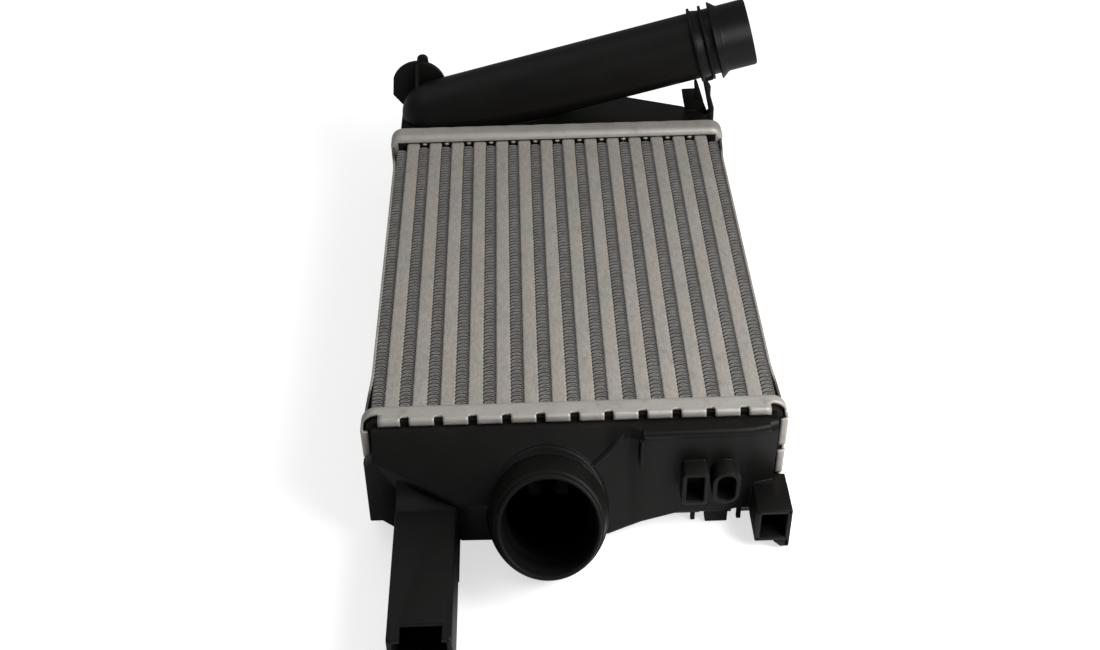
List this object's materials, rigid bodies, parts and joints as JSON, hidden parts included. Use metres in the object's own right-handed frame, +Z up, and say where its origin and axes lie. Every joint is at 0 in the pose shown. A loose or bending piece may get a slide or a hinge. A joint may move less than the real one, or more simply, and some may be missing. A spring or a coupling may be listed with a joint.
{
  "type": "intercooler",
  "caption": "Charge-air cooler with a flat-tube aluminium core and crimped plastic end tanks, one with a tilted inlet socket and the other with a side outlet pipe.",
  "frame": {"origin": "middle of the part's footprint on the surface that its header plates lie on", "axes": "+X to the right along the rows of tubes, +Y along the tubes from the near tank with the inlet socket to the far tank with the outlet pipe, +Z up out of the upper core face"},
  "size_m": [0.2356, 0.4588, 0.1421],
  "materials": {
    "tube_aluminium": "matt brazed sheet with fine drawing streaks",
    "fin_aluminium": "thin matt rolled strip",
    "header_aluminium": "pressed sheet, slightly brighter than the tubes",
    "seal_rubber": "moulded rubber",
    "tank_plastic": "glass-filled black moulding, satin"
  },
  "bodies": {
    "root": {"far_header": "header_aluminium", "far_seal": "seal_rubber", "far_tank": "tank_plastic", "fin_strip_01": "fin_aluminium", "fin_strip_02": "fin_aluminium", "fin_strip_03": "fin_aluminium", "fin_strip_04": "fin_aluminium", "fin_strip_05": "fin_aluminium", "fin_strip_06": "fin_aluminium", "fin_strip_07": "fin_aluminium", "fin_strip_08": "fin_aluminium", "fin_strip_09": "fin_aluminium", "fin_strip_10": "fin_aluminium", "fin_strip_11": "fin_aluminium", "fin_strip_12": "fin_aluminium", "fin_strip_13": "fin_aluminium", "fin_strip_14": "fin_aluminium", "fin_strip_15": "fin_aluminium", "left_side_plate": "tube_aluminium", "near_header": "header_aluminium", "near_seal": "seal_rubber", "near_tank": "tank_plastic", "right_side_plate": "tube_aluminium", "tube_01": "tube_aluminium", "tube_02": "tube_aluminium", "tube_03": "tube_aluminium", "tube_04": "tube_aluminium", "tube_05": "tube_aluminium", "tube_06": "tube_aluminium", "tube_07": "tube_aluminium", "tube_08": "tube_aluminium", "tube_09": "tube_aluminium", "tube_10": "tube_aluminium", "tube_11": "tube_aluminium", "tube_12": "tube_aluminium", "tube_13": "tube_aluminium", "tube_14": "tube_aluminium", "turbulator_01": "fin_aluminium", "turbulator_02": "fin_aluminium", "turbulator_03": "fin_aluminium", "turbulator_04": "fin_aluminium", "turbulator_05": "fin_aluminium", "turbulator_06": "fin_aluminium", "turbulator_07": "fin_aluminium", "turbulator_08": "fin_aluminium", "turbulator_09": "fin_aluminium", "turbulator_10": "fin_aluminium", "turbulator_11": "fin_aluminium", "turbulator_12": "fin_aluminium", "turbulator_13": "fin_aluminium", "turbulator_14": "fin_aluminium"}
  },
  "joints": []
}
